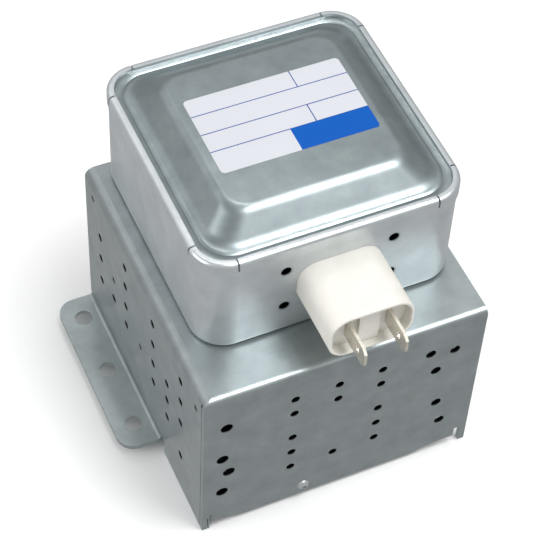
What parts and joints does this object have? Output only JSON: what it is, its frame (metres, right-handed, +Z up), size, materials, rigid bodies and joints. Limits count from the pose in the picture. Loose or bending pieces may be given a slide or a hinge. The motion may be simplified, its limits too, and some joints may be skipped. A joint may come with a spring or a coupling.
{
  "type": "microwave oven magnetron",
  "caption": "Microwave oven magnetron: folded perforated yoke with mounting ear, crimped filter box with plug terminals, ring magnets around a finned vaned anode, antenna below.",
  "frame": {"origin": "on the anode's axis, on the underside of the yoke plate", "axes": "+Z up from the mounting plane through the filter box, antenna towards -Z, front wall and terminals towards -Y, mounting ear towards -X"},
  "size_m": [0.0915, 0.1, 0.1242],
  "materials": {
    "galvanised_steel": "satin zinc coating",
    "tinned_steel": "smooth bright coating",
    "rivet_aluminium": "smooth",
    "label_paper": "satin film with fields of colour",
    "sleeve_plastic": "moulded, satin",
    "capacitor_resin": "cast resin",
    "terminal_metal": "tin plated",
    "copper": "bright copper",
    "ferrite": "ground sintered ferrite",
    "alumina": "fired ceramic",
    "cathode_metal": "drawn wire",
    "plain_steel": "drawn",
    "fin_aluminium": "mill finish",
    "stainless_steel": "drawn, bright",
    "wire_mesh": "knitted wire"
  },
  "bodies": {
    "root": {"yoke_frame": "galvanised_steel", "yoke_plate": "galvanised_steel", "yoke_rivet": "rivet_aluminium", "filter_box": "tinned_steel", "filter_lid": "tinned_steel", "lid_label": "label_paper", "capacitor_flange": "tinned_steel", "capacitor_sleeve": "sleeve_plastic", "capacitor_case": "capacitor_resin", "terminal_blade_left": "terminal_metal", "terminal_blade_right": "terminal_metal", "choke_coil_left": "copper", "choke_coil_right": "copper", "ferrite_core_left": "ferrite", "ferrite_core_right": "ferrite", "stem_ceramic": "alumina", "stem_terminals": "terminal_metal", "cathode_lead_center": "cathode_metal", "cathode_lead_side": "cathode_metal", "filament": "cathode_metal", "end_hat_upper": "cathode_metal", "end_hat_lower": "cathode_metal", "anode_shell": "copper", "anode_vanes": "copper", "strap_rings": "copper", "pole_piece_upper": "plain_steel", "pole_piece_lower": "plain_steel", "input_seal_cup": "plain_steel", "output_seal_cup": "plain_steel", "magnet_upper": "ferrite", "magnet_lower": "ferrite", "cooling_fin_1": "fin_aluminium", "cooling_fin_2": "fin_aluminium", "cooling_fin_3": "fin_aluminium", "cooling_fin_4": "fin_aluminium", "cooling_fin_5": "fin_aluminium", "cooling_fin_6": "fin_aluminium", "antenna_lead": "copper", "antenna_ceramic": "alumina", "exhaust_tube": "copper", "antenna_cap": "stainless_steel", "gasket_holder": "plain_steel", "mesh_gasket": "wire_mesh"}
  },
  "joints": []
}
